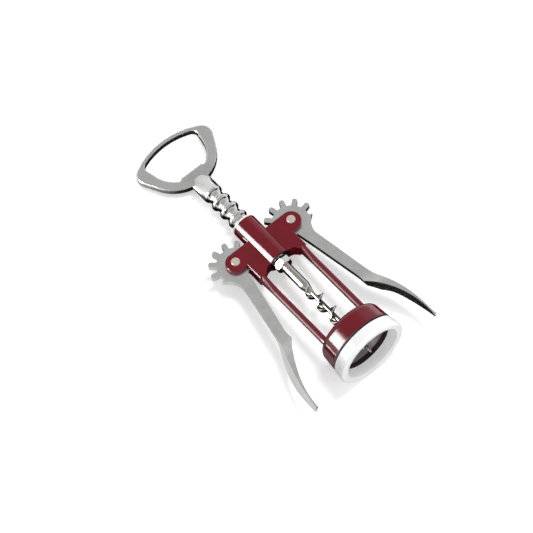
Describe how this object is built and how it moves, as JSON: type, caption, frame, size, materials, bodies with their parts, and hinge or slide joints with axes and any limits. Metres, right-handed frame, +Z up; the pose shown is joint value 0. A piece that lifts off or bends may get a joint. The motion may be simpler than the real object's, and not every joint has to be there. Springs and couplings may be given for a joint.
{
  "type": "wing corkscrew",
  "caption": "Wing corkscrew with a ring-toothed rack, paired geared levers, a bottle bell with a plastic ring, a pointed worm and a cap-lifter key head.",
  "frame": {"origin": "centre of the bell's open mouth, in the plane of the neck ring's rim", "axes": "+Y along the corkscrew axis from the mouth to the key head; the levers swing in the XY plane about Z; +Z is up when the corkscrew lies on its back"},
  "size_m": [0.084, 0.1762, 0.0418],
  "materials": {
    "burgundy_enamel": "gloss",
    "white_plastic": "semi-gloss",
    "cream_plastic": "semi-gloss",
    "satin_metal": "satin",
    "bright_metal": "polished",
    "worm_steel": "satin",
    "rivet_metal": "satin"
  },
  "bodies": {
    "frame": {"frame": "burgundy_enamel", "neck_ring": "white_plastic", "rivet_right": "rivet_metal", "rivet_left": "rivet_metal"},
    "bush": {"guide_bush": "cream_plastic"},
    "key": {"key": "satin_metal", "worm": "worm_steel", "worm_collar": "bright_metal"},
    "lever_right": {"lever_right": "satin_metal"},
    "lever_left": {"lever_left": "satin_metal"}
  },
  "joints": [
    {"name": "key_turn", "type": "hinge", "parent": "frame", "child": "bush", "pos_m": [0, 0.1, 0], "axis": [0, 1, 0], "continuous": true},
    {"name": "rack_slide", "type": "slide", "parent": "bush", "child": "key", "axis": [0, 1, 0], "range_m": [-0.031, 0.0018]},
    {"name": "lever_right_swing", "type": "hinge", "parent": "frame", "child": "lever_right", "pos_m": [0.0192, 0.087, 0], "axis": [0, 0, 1], "range_deg": [-8.2, 140]},
    {"name": "lever_left_swing", "type": "hinge", "parent": "frame", "child": "lever_left", "pos_m": [-0.0192, 0.087, 0], "axis": [0, 0, -1], "range_deg": [-8.2, 140]}
  ],
  "couplings": [
    {"joint": "lever_right_swing", "follows": "rack_slide", "rad_per_m": -75.731},
    {"joint": "lever_left_swing", "follows": "rack_slide", "rad_per_m": -75.731}
  ]
}
